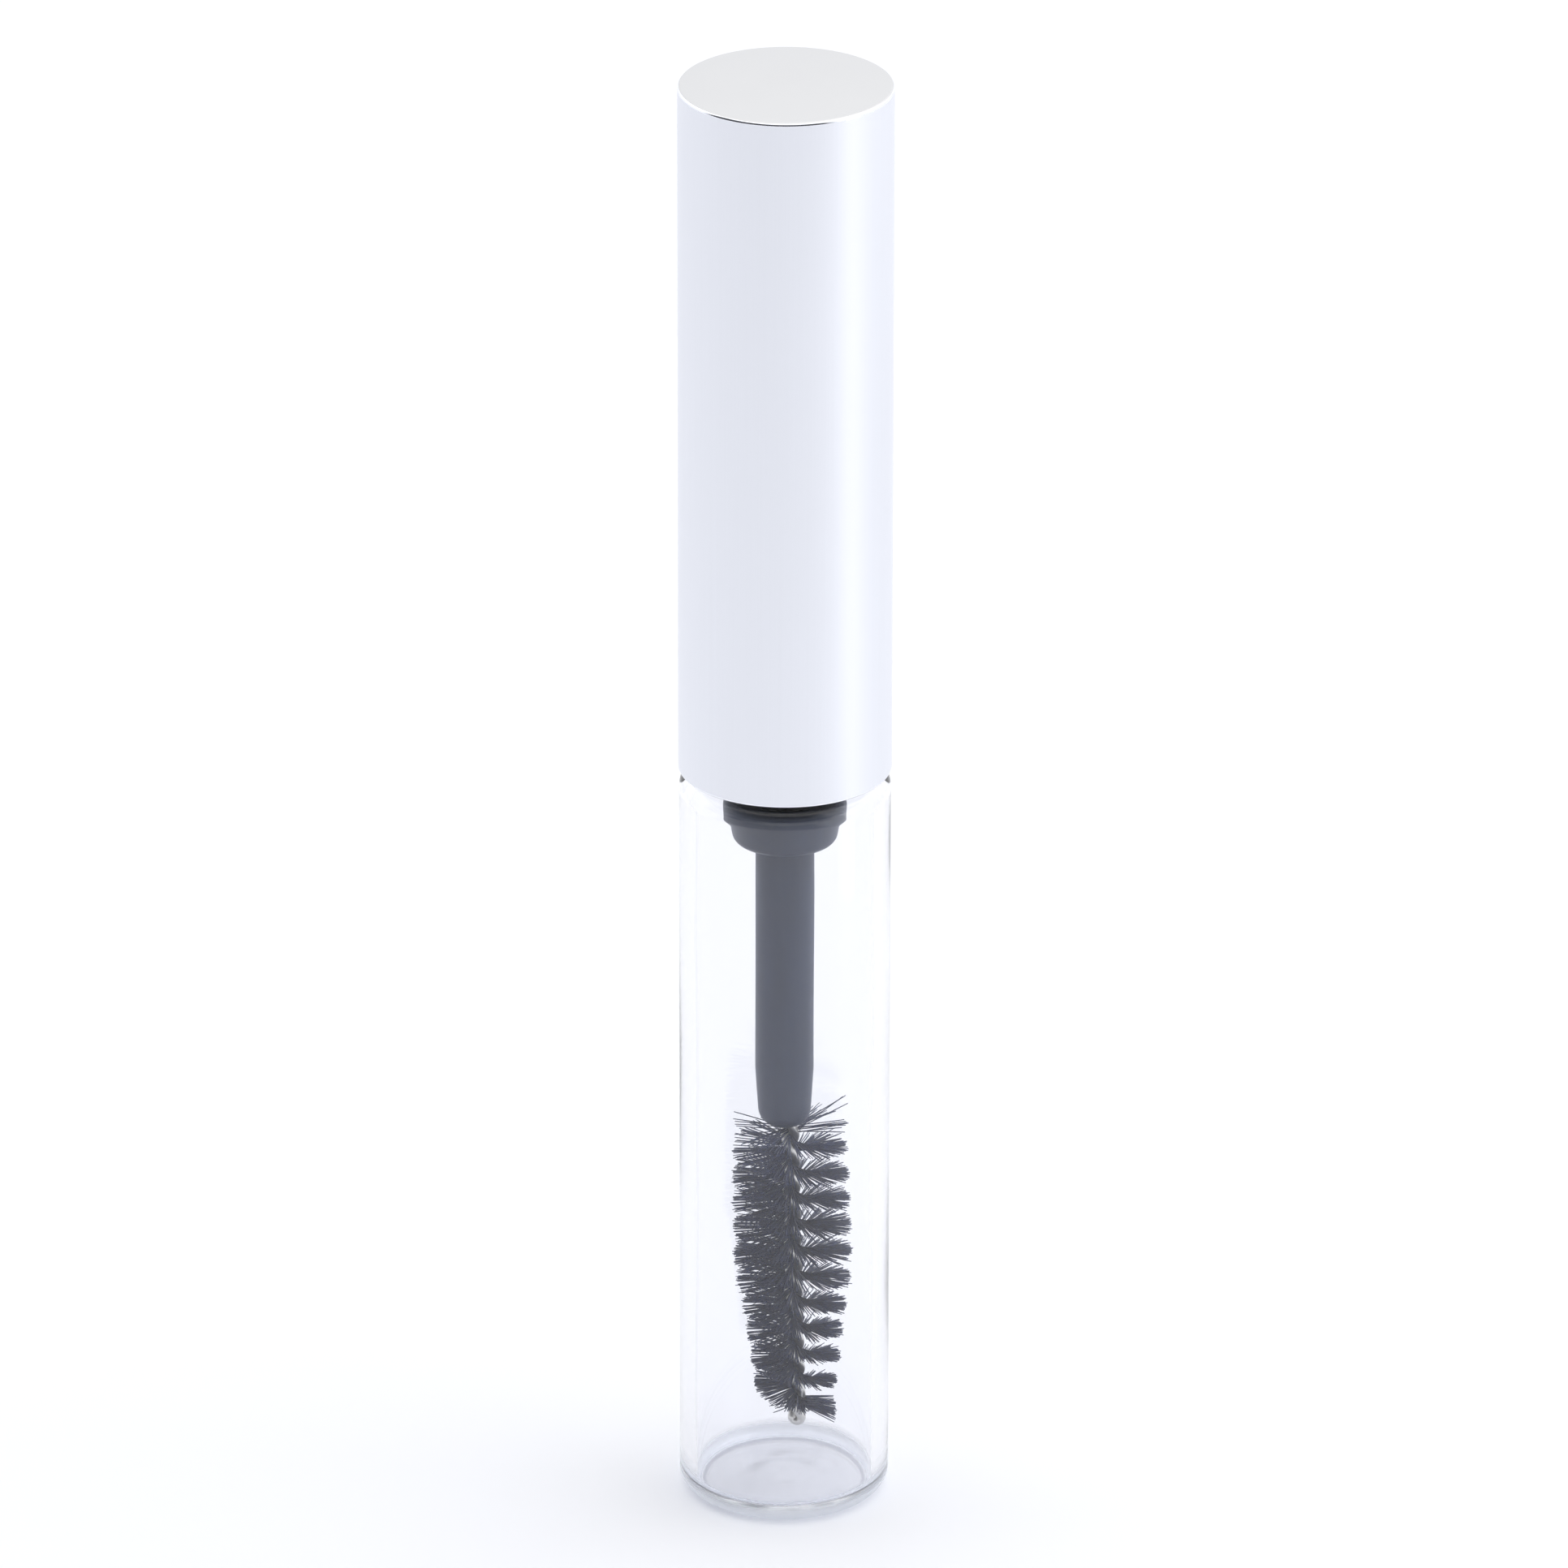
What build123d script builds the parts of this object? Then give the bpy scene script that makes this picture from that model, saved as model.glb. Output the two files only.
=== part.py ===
"""Mascara tube: a glass bottle with a wiper, and a screw cap that carries a stem with a twisted-wire brush.

Millimetres. The origin is the centre of the bottle's underside, and +Z runs up the tube's axis.
"""

from build123d import *
import math
import os

# Driving dimensions of the closed tube
TOTAL_HEIGHT = 114.4
CAP_RADIUS = 8.0
CAP_RIM_Z = 59.6
BOTTLE_RADIUS = 7.95

# Glass bottle
GLASS_WALL = 1.28
FLOOR_THICKNESS = 1.05
BASE_CORNER = 1.5
FLOOR_CORNER = 0.8
RIM_GAP = 0.2
SHOULDER_Z = CAP_RIM_Z - RIM_GAP
SHOULDER_CORNER = 1.4
SHOULDER_THICKNESS = 1.2
INNER_SHOULDER_CORNER = 0.9
NECK_HEIGHT = 11.2
NECK_ROOT_RADIUS = 5.65
NECK_BORE_RADIUS = 4.5
NECK_EDGE = 0.3
NECK_BORE_CORNER = 0.4
NECK_TOP_Z = SHOULDER_Z + NECK_HEIGHT
BORE_RADIUS = BOTTLE_RADIUS - GLASS_WALL

# Screw thread, right-hand; the two crests pass each other with FIT between them
THREAD_PITCH = 2.12
THREAD_TURNS = 1.5
THREAD_START_Z = 65.0
NECK_CREST_RADIUS = 6.35
NECK_RIDGE_BASE = 1.3
NECK_RIDGE_CREST = 0.6
CAP_RIDGE_BASE = 1.0
CAP_RIDGE_CREST = 0.6
RIDGE_ROOT_OVERLAP = 0.15

# Clearance of parts that fit in or round one another, and how far a cut runs past its face
FIT = 0.05
OVERRUN = 1.0

# Wiper
WIPER_FLANGE_RADIUS = 5.4
WIPER_FLANGE = 0.8
WIPER_WALL = 0.8
WIPER_BOWL_Z = 57.4
WIPER_BOWL_RADIUS = 3.85
WIPER_LIP_Z = 53.8
WIPER_LIP_THICKNESS = 0.45
WIPER_LIP_CORNER = 0.8

# Stem
STEM_RADIUS = 2.2
STEM_TIP_Z = 30.3
STEM_TAPER_Z = 35.0
STEM_TIP_RADIUS = 1.9
STEM_TIP_CORNER = 1.4
STEM_COLLAR_RADIUS = 3.4
STEM_COLLAR = 0.8
STEM_BARB_RADIUS = 2.7
STEM_BARB = 1.2
STEM_BARB_COUNT = 3

# Sealing washer and inner cap
WASHER = 0.9
WASHER_RADIUS = 5.9
WASHER_BORE_GAP = 0.15
DECK = 2.4
SOCKET_HEIGHT = 9.0
SOCKET_RADIUS = 4.6
LINER_RECESS = 0.15
LINER_ROOT_RADIUS = 6.75
RIB_COUNT = 6
RIB_WIDTH = 1.0

# Outer shell
SHELL_WALL = 0.4
SHELL_TOP_WALL = 0.5
SHELL_DOME = 0.3
SHELL_EDGE = 0.25
SHELL_BORE_RADIUS = CAP_RADIUS - SHELL_WALL

# Brush: the wire leaves the stem's axis at LEAN_Z and leans towards +X
LEAN_Z = 48.5
LEAN_DEGREES = 1.28
PLY_RADIUS = 0.36
PLY_OFFSET = 0.34
TWIST_PITCH = 4.36
WIRE_TOP_Z = 42.0
WIRE_TIP_Z = 5.72
BEND_RADIUS = 0.6
WIRE_HOLE_RADIUS = 0.76
BRISTLE_TOP_Z = 30.0
BRISTLE_WIDE_Z = 18.0
BRISTLE_END_Z = 5.7
BRISTLE_TOP_RADIUS = 4.3
BRISTLE_WIDE_RADIUS = 4.5
BRISTLE_END_RADIUS = 3.0
BRISTLE_BLADE = 0.5

# Levels of the closure, from the neck up
WASHER_Z = NECK_TOP_Z + WIPER_FLANGE + FIT
DECK_Z = WASHER_Z + WASHER + FIT
DECK_TOP_Z = DECK_Z + DECK
SOCKET_TOP_Z = DECK_TOP_Z + SOCKET_HEIGHT


def turned(points, corners=None):
    """A solid turned about Z from (radius, height) points. corners maps a point's index to its radius."""
    face = make_face(Polyline(*points, close=True))
    for index, radius in (corners or {}).items():
        vertex = face.vertices().sort_by_distance(Vector(*points[index]))[0]
        face = fillet(vertex, radius)
    return revolve(Plane.XZ * face, Axis.Z)


def ridge(root_radius, crest_radius, base_width, crest_width, start_z):
    """One right-hand thread ridge, from just inside the root's surface to the crest."""
    path = Pos(0, 0, start_z) * Helix(THREAD_PITCH, THREAD_PITCH * THREAD_TURNS, root_radius)
    crest = crest_radius - root_radius
    root = -math.copysign(RIDGE_ROOT_OVERLAP, crest)
    outline = Polyline(
        (root, -base_width / 2),
        (crest, -crest_width / 2),
        (crest, crest_width / 2),
        (root, base_width / 2),
        close=True,
    )
    start = Plane(origin=path @ 0, x_dir=(1, 0, 0), z_dir=path % 0)
    return sweep(start * make_face(outline), path=path, is_frenet=True)


def leaned(shape):
    """The shape, built along Z, on the brush's leaning axis."""
    pivot = Pos(0, 0, LEAN_Z)
    return pivot * Rot(0, -LEAN_DEGREES, 0) * Pos(0, 0, -LEAN_Z) * shape


def twisted(section, low_z, high_z):
    """The section, drawn about the origin, carried up from low_z with the brush's left-hand twist."""
    length = high_z - low_z
    angle = -360.0 * length / TWIST_PITCH
    solid = Solid.extrude_linear_with_rotation(section.face(), (0, 0, 0), (0, 0, length), angle)
    return Pos(0, 0, low_z) * solid


def glass_bottle():
    """Tube with a thick base, a rounded shoulder and a threaded neck."""
    outside = turned(
        [
            (0, 0),
            (BOTTLE_RADIUS, 0),
            (BOTTLE_RADIUS, SHOULDER_Z),
            (NECK_ROOT_RADIUS, SHOULDER_Z),
            (NECK_ROOT_RADIUS, NECK_TOP_Z),
            (0, NECK_TOP_Z),
        ],
        {1: BASE_CORNER, 2: SHOULDER_CORNER, 4: NECK_EDGE},
    )
    inner_shoulder_z = SHOULDER_Z - SHOULDER_THICKNESS
    cavity = turned(
        [
            (0, FLOOR_THICKNESS),
            (BORE_RADIUS, FLOOR_THICKNESS),
            (BORE_RADIUS, inner_shoulder_z),
            (NECK_BORE_RADIUS, inner_shoulder_z),
            (NECK_BORE_RADIUS, NECK_TOP_Z + OVERRUN),
            (0, NECK_TOP_Z + OVERRUN),
        ],
        {1: FLOOR_CORNER, 2: INNER_SHOULDER_CORNER, 3: NECK_BORE_CORNER},
    )
    thread = ridge(
        NECK_ROOT_RADIUS, NECK_CREST_RADIUS, NECK_RIDGE_BASE, NECK_RIDGE_CREST, THREAD_START_Z
    )
    return outside - cavity + thread


def wiper():
    """Soft plug: flange on the neck's land, sleeve in the bore, and a bowl that closes to the stem."""
    sleeve_radius = NECK_BORE_RADIUS - FIT
    sleeve_bore = sleeve_radius - WIPER_WALL
    orifice = STEM_RADIUS + FIT
    top_z = NECK_TOP_Z + WIPER_FLANGE
    return turned(
        [
            (orifice, WIPER_LIP_Z),
            (WIPER_BOWL_RADIUS, WIPER_LIP_Z),
            (sleeve_radius, WIPER_BOWL_Z),
            (sleeve_radius, NECK_TOP_Z),
            (WIPER_FLANGE_RADIUS, NECK_TOP_Z),
            (WIPER_FLANGE_RADIUS, top_z),
            (sleeve_bore, top_z),
            (sleeve_bore, WIPER_BOWL_Z + WIPER_WALL),
            (orifice, WIPER_LIP_Z + WIPER_LIP_THICKNESS),
        ],
        {1: WIPER_LIP_CORNER, 6: WIPER_FLANGE / 2},
    )


def sealing_washer():
    """Flat ring round the stem, between the wiper's flange and the inner cap's deck."""
    bore = STEM_RADIUS + WASHER_BORE_GAP
    ring = Circle(WASHER_RADIUS) - Circle(bore)
    return Pos(0, 0, WASHER_Z) * extrude(ring, WASHER)


def stem():
    """Rod with a tapered, rounded tip, a collar under the deck and a barbed plug in the socket."""
    collar_top = DECK_Z + STEM_COLLAR
    rod = turned(
        [
            (0, STEM_TIP_Z),
            (STEM_TIP_RADIUS, STEM_TIP_Z),
            (STEM_RADIUS, STEM_TAPER_Z),
            (STEM_RADIUS, DECK_Z),
            (STEM_COLLAR_RADIUS, DECK_Z),
            (STEM_COLLAR_RADIUS, collar_top),
            (STEM_RADIUS, collar_top),
            (STEM_RADIUS, SOCKET_TOP_Z - FIT),
            (0, SOCKET_TOP_Z - FIT),
        ],
        {1: STEM_TIP_CORNER},
    )
    spacing = (SOCKET_TOP_Z - DECK_TOP_Z) / (STEM_BARB_COUNT + 1)
    barb = Cone(STEM_BARB_RADIUS, STEM_RADIUS, STEM_BARB)
    for number in range(STEM_BARB_COUNT):
        rod += Pos(0, 0, DECK_TOP_Z + spacing * (number + 1)) * barb
    hole_z = STEM_TIP_Z - OVERRUN
    hole = Pos(0, 0, hole_z) * extrude(Circle(WIRE_HOLE_RADIUS), WIRE_TOP_Z + FIT - hole_z)
    return rod - leaned(hole)


def inner_cap():
    """Liner fixed in the shell, with the internal thread, a deck and a ribbed socket for the stem."""
    outer = SHELL_BORE_RADIUS - FIT
    skirt_z = CAP_RIM_Z + LINER_RECESS
    socket_bore = STEM_BARB_RADIUS + FIT
    collar_bore = STEM_COLLAR_RADIUS + FIT
    collar_top = DECK_Z + STEM_COLLAR + FIT
    body = turned(
        [
            (LINER_ROOT_RADIUS, skirt_z),
            (outer, skirt_z),
            (outer, SOCKET_TOP_Z),
            (LINER_ROOT_RADIUS, SOCKET_TOP_Z),
            (LINER_ROOT_RADIUS, DECK_TOP_Z),
            (SOCKET_RADIUS, DECK_TOP_Z),
            (SOCKET_RADIUS, SOCKET_TOP_Z),
            (socket_bore, SOCKET_TOP_Z),
            (socket_bore, collar_top),
            (collar_bore, collar_top),
            (collar_bore, DECK_Z),
            (LINER_ROOT_RADIUS, DECK_Z),
        ]
    )
    rib_length = LINER_ROOT_RADIUS - SOCKET_RADIUS + 2 * RIDGE_ROOT_OVERLAP
    rib = Pos((LINER_ROOT_RADIUS + SOCKET_RADIUS) / 2, 0, DECK_TOP_Z + SOCKET_HEIGHT / 2) * Box(
        rib_length, RIB_WIDTH, SOCKET_HEIGHT
    )
    for number in range(RIB_COUNT):
        body += Rot(0, 0, 360 / RIB_COUNT * number) * rib
    thread = ridge(
        LINER_ROOT_RADIUS,
        NECK_CREST_RADIUS + FIT,
        CAP_RIDGE_BASE,
        CAP_RIDGE_CREST,
        THREAD_START_Z - THREAD_PITCH / 2,
    )
    return body + thread


def outer_shell():
    """Drawn overcap with a slightly domed top and a small rounded edge."""
    dome_radius = (CAP_RADIUS**2 + SHELL_DOME**2) / (2 * SHELL_DOME)
    dome = Pos(0, 0, TOTAL_HEIGHT - dome_radius) * Sphere(dome_radius)
    blank = Pos(0, 0, CAP_RIM_Z) * extrude(Circle(CAP_RADIUS), TOTAL_HEIGHT - CAP_RIM_Z)
    blank = blank & dome
    edge = blank.edges().filter_by(GeomType.CIRCLE).filter_by_position(
        Axis.Z, CAP_RIM_Z + 1, TOTAL_HEIGHT
    )
    blank = fillet(edge, SHELL_EDGE)
    bore_length = TOTAL_HEIGHT - SHELL_DOME - SHELL_TOP_WALL - CAP_RIM_Z
    return blank - Pos(0, 0, CAP_RIM_Z) * extrude(Circle(SHELL_BORE_RADIUS), bore_length)


def brush_wire():
    """Two plies of one wire twisted together, ending in their bend at the brush's tip."""
    plies = Pos(PLY_OFFSET, 0) * Circle(PLY_RADIUS) + Pos(-PLY_OFFSET, 0) * Circle(PLY_RADIUS)
    bend = Pos(0, 0, WIRE_TIP_Z) * Sphere(BEND_RADIUS)
    return leaned(bend + twisted(plies, WIRE_TIP_Z, WIRE_TOP_Z))


def bristles():
    """The fibres' envelope: a two-bladed left-hand screw round the wire, clear of it."""
    blades = Rectangle(2 * (BRISTLE_WIDE_RADIUS + OVERRUN), BRISTLE_BLADE)
    screw = twisted(blades, BRISTLE_END_Z, BRISTLE_TOP_Z)
    core = WIRE_HOLE_RADIUS
    envelope = turned(
        [
            (core, BRISTLE_END_Z),
            (BRISTLE_END_RADIUS, BRISTLE_END_Z),
            (BRISTLE_WIDE_RADIUS, BRISTLE_WIDE_Z),
            (BRISTLE_TOP_RADIUS, BRISTLE_TOP_Z),
            (core, BRISTLE_TOP_Z),
        ]
    )
    return leaned(screw & envelope)


PARTS = {
    "glass_bottle": glass_bottle,
    "wiper": wiper,
    "sealing_washer": sealing_washer,
    "stem": stem,
    "inner_cap": inner_cap,
    "outer_shell": outer_shell,
    "brush_wire": brush_wire,
    "bristles": bristles,
}

os.makedirs("parts", exist_ok=True)
for node, make in PARTS.items():
    export_step(make(), f"parts/{node}.step")
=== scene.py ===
"""Mascara tube: the looks of a clear bottle, its satin cap, wiper, stem and twisted-wire brush.

Metres. The packed frame gives the bodies and the places; each operator makes one piece on it.
"""

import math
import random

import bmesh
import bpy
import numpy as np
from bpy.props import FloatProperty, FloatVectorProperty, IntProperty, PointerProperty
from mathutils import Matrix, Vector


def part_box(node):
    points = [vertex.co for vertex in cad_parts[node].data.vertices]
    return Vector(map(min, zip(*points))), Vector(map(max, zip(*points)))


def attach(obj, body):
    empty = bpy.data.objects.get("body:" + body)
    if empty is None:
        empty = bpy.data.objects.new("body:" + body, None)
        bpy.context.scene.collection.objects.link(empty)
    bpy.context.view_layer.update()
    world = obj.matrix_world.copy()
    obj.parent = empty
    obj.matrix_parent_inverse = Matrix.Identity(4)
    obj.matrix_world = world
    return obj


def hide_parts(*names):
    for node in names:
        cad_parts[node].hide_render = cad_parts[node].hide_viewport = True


bl_info = {
    "name": "Mascara tube",
    "version": (1, 0, 0),
    "blender": (4, 5, 0),
    "location": "3D View > Sidebar > Mascara",
    "description": "Builds a glass mascara tube with a satin screw cap, a wiper and a twisted-wire brush",
    "category": "Add Mesh",
}

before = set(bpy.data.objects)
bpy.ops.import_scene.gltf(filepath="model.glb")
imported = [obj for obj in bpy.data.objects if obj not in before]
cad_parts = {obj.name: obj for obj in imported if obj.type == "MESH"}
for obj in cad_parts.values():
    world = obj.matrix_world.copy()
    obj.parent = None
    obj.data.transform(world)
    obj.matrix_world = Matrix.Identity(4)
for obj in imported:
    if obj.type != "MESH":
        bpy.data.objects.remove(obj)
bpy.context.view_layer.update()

MM = 0.001
TURN = 2 * math.pi
UP = Vector((0, 0, 1))
# How near two places are taken as one, in metres
TOUCH = 1e-7


# ---------------------------------------------------------------- settings


def length(name, description, millimetres):
    """A length setting, given in millimetres and kept in metres."""
    return FloatProperty(
        name=name,
        description=description,
        default=millimetres * MM,
        min=0.0,
        precision=5,
        unit="LENGTH",
    )


def colour(name, description, red, green, blue):
    """A colour setting in linear values."""
    return FloatVectorProperty(
        name=name,
        description=description,
        default=(red, green, blue),
        min=0.0,
        max=1.0,
        size=3,
        subtype="COLOR",
    )


class BottleSettings(bpy.types.PropertyGroup):
    """Sizes of the glass bottle and of the plug in its neck."""

    wall: length("Wall", "Thickness of the bottle's side", 1.28)
    floor: length("Floor", "Thickness of the bottle's base", 1.05)
    base_corner: length("Base corner", "Outer radius where the side meets the base", 1.5)
    floor_corner: length("Floor corner", "Inner radius where the side meets the floor", 0.8)
    shoulder_corner: length("Shoulder corner", "Outer radius of the shoulder", 1.4)
    inner_corner: length("Inner shoulder corner", "Inner radius of the shoulder", 0.9)
    shoulder: length("Shoulder", "Thickness of glass in the shoulder", 1.2)
    neck_height: length("Neck height", "Neck above the shoulder", 11.2)
    neck_radius: length("Neck radius", "Outside of the neck under its thread", 5.65)
    neck_bore: length("Neck bore", "Radius of the hole in the neck", 4.5)
    thread_pitch: length("Thread pitch", "Rise of the thread in one turn", 2.12)
    thread_turns: FloatProperty(
        name="Thread turns", description="Length of the thread in turns", default=1.5, min=0.0
    )
    thread_start: length("Thread start", "Height of the thread's lower end", 65.0)
    thread_height: length("Thread height", "How far the thread stands out of the neck", 0.7)
    punt: length("Punt", "Depth of the hollow under the base", 0.12)
    dimple: length("Dimple", "Height of the ripples in the floor", 0.03)
    waviness: length("Waviness", "How much the inner wall wanders", 0.02)
    sleeve_wall: length("Wiper wall", "Thickness of the wiper's sleeve", 0.8)
    bowl_height: length("Wiper bowl", "Height where the wiper starts to close", 57.4)
    bowl_radius: length("Wiper bowl radius", "Radius of the wiper's lower end", 3.85)
    lip: length("Wiper lip", "Thickness of the wiper's lip at the stem", 0.45)


class CapSettings(bpy.types.PropertyGroup):
    """Sizes of the aluminium shell and of the stem."""

    wall: length("Wall", "Thickness of the shell's side", 0.4)
    top: length("Top", "Thickness of the shell's top", 0.5)
    dome: length("Dome", "Rise of the top from its edge to its middle", 0.3)
    edge: length("Edge", "Radius of the rounded edge, whose outer part is polished", 0.25)
    rim: length("Rim", "Rounding of the shell's open end", 0.15)
    stem_radius: length("Stem radius", "Radius of the stem", 2.2)
    stem_tip: length("Stem tip radius", "Radius of the stem's tip before it is rounded", 1.9)
    stem_tip_corner: length("Stem tip corner", "Rounding of the stem's tip", 1.4)
    stem_taper: length("Stem taper", "Height where the stem starts to taper", 35.0)


class BrushSettings(bpy.types.PropertyGroup):
    """Sizes of the twisted wire and its fibres."""

    fibres: IntProperty(name="Fibres", description="Fibres held in the wire", default=1500, min=1)
    fibre_radius: length("Fibre radius", "Radius of one fibre", 0.043)
    ply_radius: length("Ply radius", "Radius of the wire", 0.36)
    ply_offset: length("Ply offset", "Distance of each ply from the brush's axis", 0.35)
    pitch: length("Twist pitch", "Length of one left-hand turn of the wire", 4.36)
    phase_height: length("Phase height", "Height where the fibres lie along X", 28.3)
    wire_top: length("Wire top", "Upper end of the wire, inside the stem", 42.0)
    tip: length("Tip", "Height of the wire's bend", 5.62)
    lean_height: length("Lean height", "Height where the brush leaves the stem's axis", 48.5)
    lean: FloatProperty(
        name="Lean",
        description="Angle between the brush and the stem, towards +X",
        default=math.radians(1.28),
        subtype="ANGLE",
    )
    top: length("Fibre top", "Height of the uppermost fibres", 30.05)
    wide: length("Widest height", "Height where the brush is widest", 18.0)
    end: length("Fibre end", "Height of the lowest fibres", 7.3)
    top_radius: length("Top radius", "Radius of the brush at its top", 4.3)
    wide_radius: length("Widest radius", "Radius of the brush where it is widest", 4.5)
    end_radius: length("End radius", "Radius of the brush at its end", 3.0)
    seed: IntProperty(name="Seed", description="Seed of the fibres' scatter", default=11)


class FinishSettings(bpy.types.PropertyGroup):
    """Colours of the materials."""

    glass: colour("Glass", "Tint of the glass", 0.962, 0.966, 0.985)
    aluminium: colour("Aluminium", "Colour of the anodised shell", 0.825, 0.840, 0.885)
    # Painted shade: the top's colour is darker and more neutral than the side's aluminium, for the
    # brighter light that it reflects from above
    top: colour("Cap top", "Colour of the shell's top", 0.66, 0.662, 0.668)
    black: colour("Black plastic", "Colour of the stem and the wiper", 0.031, 0.043, 0.080)
    fibre: colour("Fibre", "Colour of the brush's fibres", 0.030, 0.041, 0.100)
    steel: colour("Steel", "Colour of the wire", 0.72, 0.71, 0.68)
    white: colour("White plastic", "Colour of the liner and the washer", 0.80, 0.80, 0.79)


class StageSettings(bpy.types.PropertyGroup):
    """Camera, floor and lights."""

    distance: length("Distance", "Camera to the middle of the tube", 1096.4)
    elevation: FloatProperty(
        name="Elevation",
        description="Camera's angle above the horizon",
        default=math.radians(23.67),
        subtype="ANGLE",
    )
    aim_height: length("Aim height", "Height that the camera looks at", 58.08)
    aside: length("Aside", "How far the camera stands to the left of the tube", 0.073)
    roll: FloatProperty(
        name="Roll",
        description="Camera's turn about its line of sight",
        default=math.radians(0.086),
        subtype="ANGLE",
    )
    lens: FloatProperty(
        name="Lens",
        description="Focal length for a sensor 36 mm wide",
        default=336.06,
        subtype="DISTANCE_CAMERA",
    )
    floor_radius: length("Floor radius", "Radius of the floor", 3000.0)
    floor_colour: colour("Floor", "Colour of the floor", 0.865, 0.873, 0.905)
    horizon: colour("Horizon", "Colour of the light from the sides", 0.80, 0.81, 0.84)
    sky: FloatProperty(name="Surround", description="Strength of the light all round", default=1.36)
    key: FloatProperty(name="Key", description="Watts of the light above and to the right", default=1.2)
    card: FloatProperty(name="Card", description="Watts of the bright card on the right", default=0.006)


# ---------------------------------------------------------------- outlines and meshes


def rounded(corners, steps=8):
    """Points along an outline of (radius, height, corner radius) corners, each corner an arc."""
    points = []
    for index, (x, z, radius) in enumerate(corners):
        here = Vector((x, z))
        if not radius:
            points.append(here)
            continue
        back = (Vector(corners[index - 1][:2]) - here).normalized()
        on = (Vector(corners[(index + 1) % len(corners)][:2]) - here).normalized()
        half = back.angle(on) / 2
        centre = here + (back + on).normalized() * radius / math.sin(half)
        start = here + back * radius / math.tan(half) - centre
        end = here + on * radius / math.tan(half) - centre
        turn = math.atan2(start.x * end.y - start.y * end.x, start.dot(end))
        for step in range(steps + 1):
            points.append(centre + Matrix.Rotation(turn * step / steps, 2) @ start)
    return points


def divided(points, longest, closed):
    """The outline with a point near both ends of each long edge, and none further apart than longest."""
    support = 0.04 * MM
    ends = points[1:] + (points[:1] if closed else [])
    divided_points = []
    for start, end in zip(points, ends):
        edge = (end - start).length
        divided_points.append(start)
        if edge < 4 * support:
            continue
        count = max(1, math.ceil((edge - 2 * support) / longest))
        for step in range(count + 1):
            along = support + (edge - 2 * support) * step / count
            divided_points.append(start.lerp(end, along / edge))
    if not closed:
        divided_points.append(points[-1])
    return divided_points


class Shape:
    """Vertices and faces of a mesh under construction, and the material of each face."""

    def __init__(self):
        self.vertices = []
        self.faces = []

    def ring(self, points):
        """Adds vertices and returns their indices."""
        first = len(self.vertices)
        self.vertices.extend(points)
        return list(range(first, len(self.vertices)))

    def bridge(self, lower, upper):
        """Faces between two rings. A ring of one vertex is a pole."""
        count = max(len(lower), len(upper))
        for index in range(count):
            after = (index + 1) % count
            corners = [lower[index % len(lower)], lower[after % len(lower)]]
            corners += [upper[after % len(upper)], upper[index % len(upper)]]
            self.faces.append(list(dict.fromkeys(corners)))

    def lathe(self, outline, segments, closed):
        """A surface turned about Z from (radius, height) points. Points on the axis become poles."""
        rings = []
        for radius, height in outline:
            spokes = segments if radius > TOUCH else 1
            angles = [TURN * spoke / segments for spoke in range(spokes)]
            rings.append(
                self.ring([(radius * math.cos(a), radius * math.sin(a), height) for a in angles])
            )
        for lower, upper in zip(rings, rings[1:] + (rings[:1] if closed else [])):
            self.bridge(lower, upper)

    def tube(self, path, radii, sides, side):
        """A closed tube along path. side is a direction across its start."""
        rings = []
        for index, (point, radius) in enumerate(zip(path, radii)):
            along = path[min(index + 1, len(path) - 1)] - path[max(index - 1, 0)]
            along = along.normalized()
            side = (side - along * side.dot(along)).normalized()
            across = along.cross(side)
            angles = [TURN * number / sides for number in range(sides)]
            rings.append(
                self.ring([point + radius * (side * math.cos(a) + across * math.sin(a)) for a in angles])
            )
        for lower, upper in zip(rings, rings[1:]):
            self.bridge(lower, upper)
        self.faces.append(rings[0][::-1])
        self.faces.append(rings[-1])


def piece(name, shape, materials, body, slot, *replaced):
    """The shape as a smooth object that rides on a body and stands for the replaced CAD nodes."""
    mesh = bpy.data.meshes.new(name)
    mesh.from_pydata([tuple(v) for v in shape.vertices], [], shape.faces)
    for finish in materials:
        mesh.materials.append(finish)
    solid = bmesh.new()
    solid.from_mesh(mesh)
    bmesh.ops.recalc_face_normals(solid, faces=solid.faces)
    solid.to_mesh(mesh)
    solid.free()
    mesh.shade_smooth()
    mesh.set_sharp_from_angle(angle=math.radians(40))
    made = bpy.data.objects.new(name, mesh)
    bpy.context.scene.collection.objects.link(made)
    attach(made, body)
    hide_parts(*replaced)
    return made


def dress(node, finish):
    """Gives a CAD node that keeps its shape its material."""
    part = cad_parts[node]
    part.data.materials.clear()
    part.data.materials.append(finish)


def smoothstep(low, high, value):
    """0 under low, 1 over high, and a smooth rise between, for arrays."""
    share = np.clip((value - low) / (high - low), 0.0, 1.0)
    return share * share * (3 - 2 * share)


def reshape(made, change):
    """Moves the mesh's points: change takes and returns an array of coordinates."""
    count = len(made.data.vertices)
    places = np.empty(count * 3)
    made.data.vertices.foreach_get("co", places)
    places = change(places.reshape(count, 3))
    made.data.vertices.foreach_set("co", places.ravel())
    made.data.update()


# ---------------------------------------------------------------- shaders


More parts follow.
